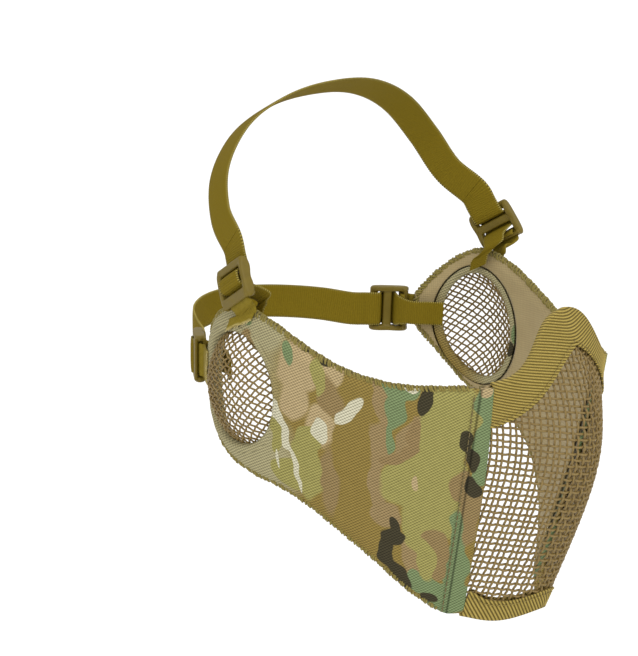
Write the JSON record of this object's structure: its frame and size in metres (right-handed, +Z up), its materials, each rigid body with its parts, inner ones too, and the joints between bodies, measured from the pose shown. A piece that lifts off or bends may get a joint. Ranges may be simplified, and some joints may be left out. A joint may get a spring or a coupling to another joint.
{
  "type": "half face mask",
  "caption": "Foldable half-face mask with a woven wire front, padded camouflage cloth sides, domed wire ear covers and elastic head straps with ladder-lock buckles",
  "frame": {"origin": "the middle of the wearer's head, midway between the two ear meshes", "axes": "+Z up, -Y the way the wearer faces, +X the wearer's left"},
  "size_m": [0.1906, 0.2064, 0.219],
  "materials": {
    "wire": "woven steel wire, tan paint",
    "tape": "ribbed grosgrain binding tape, gold tan",
    "camo_cloth": "coarse woven nylon with a printed camouflage",
    "foam": "thin closed foam sheet",
    "lining": "smooth tan lining cloth",
    "overlock": "overlocked thread edge, tan",
    "webbing": "ribbed elastic webbing, olive gold",
    "buckle": "moulded acetal, tan"
  },
  "bodies": {
    "mask_front": {"front_mesh": "wire", "nose_binding": "tape", "chin_binding": "tape", "left_hem": "camo_cloth", "right_hem": "camo_cloth", "top_strap": "webbing", "rear_strap": "webbing"},
    "left_panel": {"left_shell": "camo_cloth", "left_foam": "foam", "left_lining": "lining", "left_edge_trim": "overlock", "left_ear_ring": "camo_cloth", "left_ear_mesh": "wire", "left_top_tab": "webbing", "left_rear_tab": "webbing"},
    "left_top_adjuster": {"left_top_buckle": "buckle"},
    "left_rear_adjuster": {"left_rear_buckle": "buckle"},
    "right_panel": {"right_shell": "camo_cloth", "right_foam": "foam", "right_lining": "lining", "right_edge_trim": "overlock", "right_ear_ring": "camo_cloth", "right_ear_mesh": "wire", "right_top_tab": "webbing", "right_rear_tab": "webbing"},
    "right_top_adjuster": {"right_top_buckle": "buckle"},
    "right_rear_adjuster": {"right_rear_buckle": "buckle"}
  },
  "joints": [
    {"name": "left_fold", "type": "hinge", "parent": "mask_front", "child": "left_panel", "pos_m": [0.0386, -0.0828, -0.0415], "axis": [0.1077, -0.2389, 0.965], "range_deg": [-20, 22], "deforming": ["top_strap", "rear_strap"]},
    {"name": "left_top_tilt", "type": "hinge", "parent": "left_panel", "child": "left_top_adjuster", "pos_m": [0.08874, -0.00628, 0.04087], "axis": [-0.2138, 0.842, -0.4953], "range_deg": [-6, 12], "deforming": ["top_strap"]},
    {"name": "left_rear_tilt", "type": "hinge", "parent": "left_panel", "child": "left_rear_adjuster", "pos_m": [0.06831, 0.03348, 0.00698], "axis": [-0.0279, 0.0285, -0.9992], "range_deg": [-12, 12], "deforming": ["rear_strap"]},
    {"name": "right_fold", "type": "hinge", "parent": "mask_front", "child": "right_panel", "pos_m": [-0.0386, -0.0828, -0.0415], "axis": [0.1077, 0.2389, -0.965], "range_deg": [-20, 22], "deforming": ["top_strap", "rear_strap"]},
    {"name": "right_top_tilt", "type": "hinge", "parent": "right_panel", "child": "right_top_adjuster", "pos_m": [-0.08874, -0.00628, 0.04087], "axis": [-0.2138, -0.842, 0.4953], "range_deg": [-6, 12], "deforming": ["top_strap"]},
    {"name": "right_rear_tilt", "type": "hinge", "parent": "right_panel", "child": "right_rear_adjuster", "pos_m": [-0.06831, 0.03348, 0.00698], "axis": [-0.0279, -0.0285, 0.9992], "range_deg": [-12, 12], "deforming": ["rear_strap"]}
  ]
}
